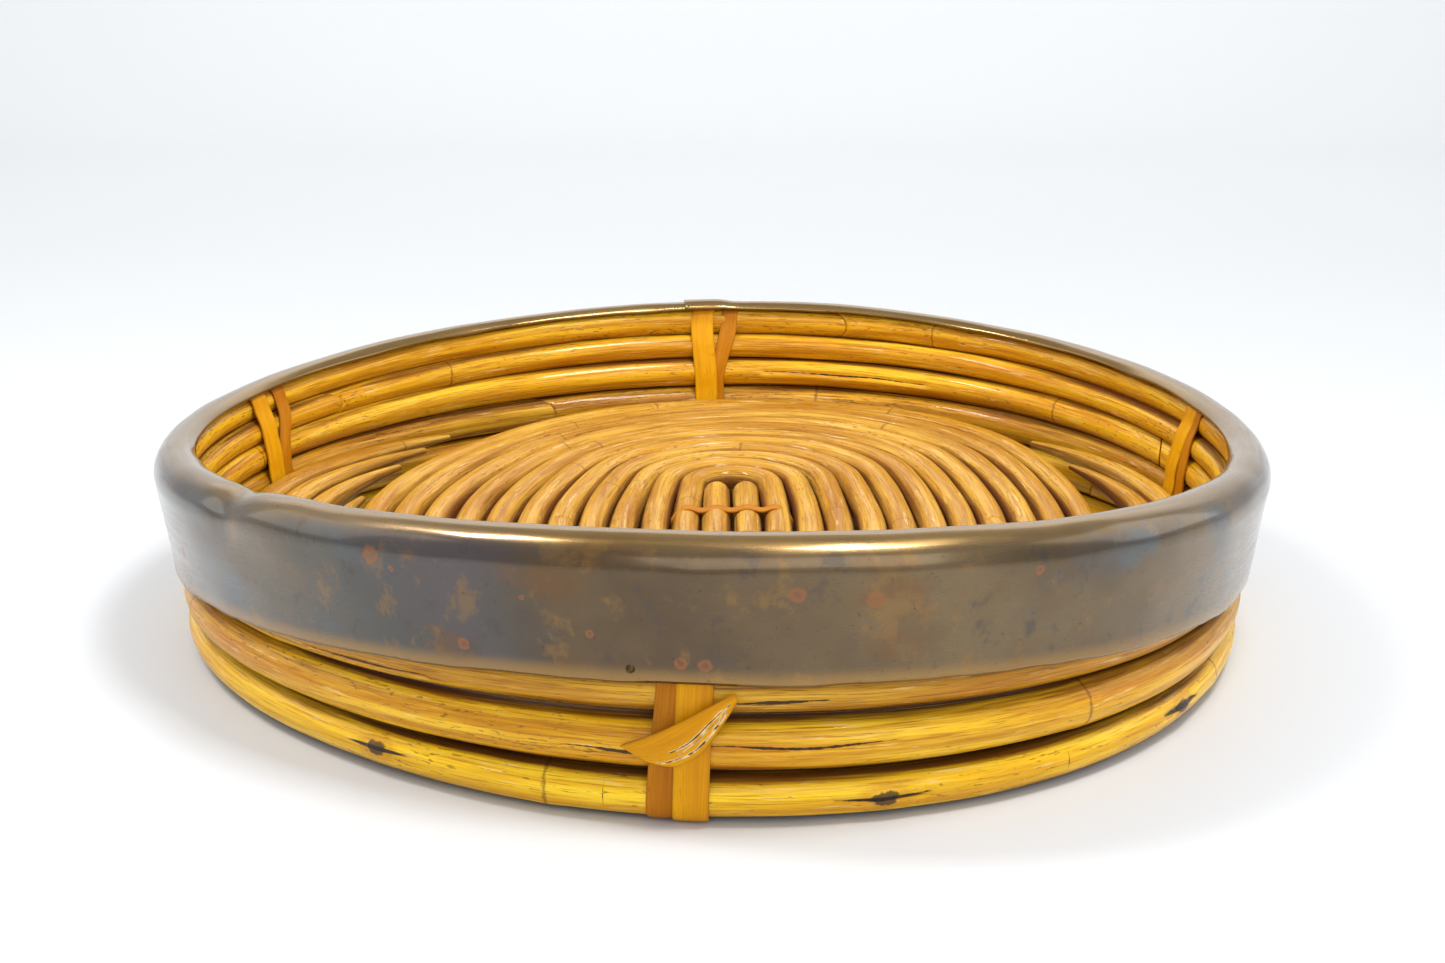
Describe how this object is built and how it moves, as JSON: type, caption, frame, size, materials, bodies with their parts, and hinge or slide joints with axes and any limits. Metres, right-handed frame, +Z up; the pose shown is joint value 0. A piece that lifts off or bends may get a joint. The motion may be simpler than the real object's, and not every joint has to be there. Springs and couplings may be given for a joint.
{
  "type": "coiled rattan tray with a brass rim",
  "caption": "Low round tray of coiled and stacked lacquered rattan poles with cane bindings and a folded brass band round its rim.",
  "frame": {"origin": "centre of the tray on the surface that it stands on, under the cane bindings", "axes": "+Z up along the tray's axis, -Y towards the front, where the binding with the hitch faces the viewer, +X to the viewer's right"},
  "size_m": [0.33, 0.33, 0.0645],
  "materials": {
    "lacquered_rattan": "gloss lacquer",
    "floor_rattan": "gloss lacquer",
    "split_cane": "satin lacquer",
    "patinated_brass": "dark patina, satin",
    "tack_brass": "dark patina",
    "nail_wire": "plain wire"
  },
  "bodies": {
    "root": {"binding_back_hitch": "split_cane", "binding_back_narrow_wrap": "split_cane", "binding_back_wide_wrap": "split_cane", "binding_front_hitch": "split_cane", "binding_front_narrow_wrap": "split_cane", "binding_front_wide_wrap": "split_cane", "binding_left_hitch": "split_cane", "binding_left_narrow_wrap": "split_cane", "binding_left_wide_wrap": "split_cane", "binding_right_hitch": "split_cane", "binding_right_narrow_wrap": "split_cane", "binding_right_wide_wrap": "split_cane", "brass_rim": "patinated_brass", "core_bar_left": "floor_rattan", "core_bar_right": "floor_rattan", "core_lashing_back": "split_cane", "core_lashing_front": "split_cane", "floor_coil_inner": "floor_rattan", "floor_coil_middle": "floor_rattan", "floor_coil_outer": "floor_rattan", "floor_filler_left_1": "floor_rattan", "floor_filler_left_2": "floor_rattan", "floor_filler_left_3": "floor_rattan", "floor_filler_left_4": "floor_rattan", "floor_filler_right_1": "floor_rattan", "floor_filler_right_2": "floor_rattan", "floor_nails": "nail_wire", "rim_tacks": "tack_brass", "wall_nails": "nail_wire", "wall_pole_1": "lacquered_rattan", "wall_pole_2": "lacquered_rattan", "wall_pole_3": "lacquered_rattan", "wall_pole_4": "lacquered_rattan", "wall_pole_5": "lacquered_rattan", "wall_pole_6": "lacquered_rattan"}
  },
  "joints": []
}
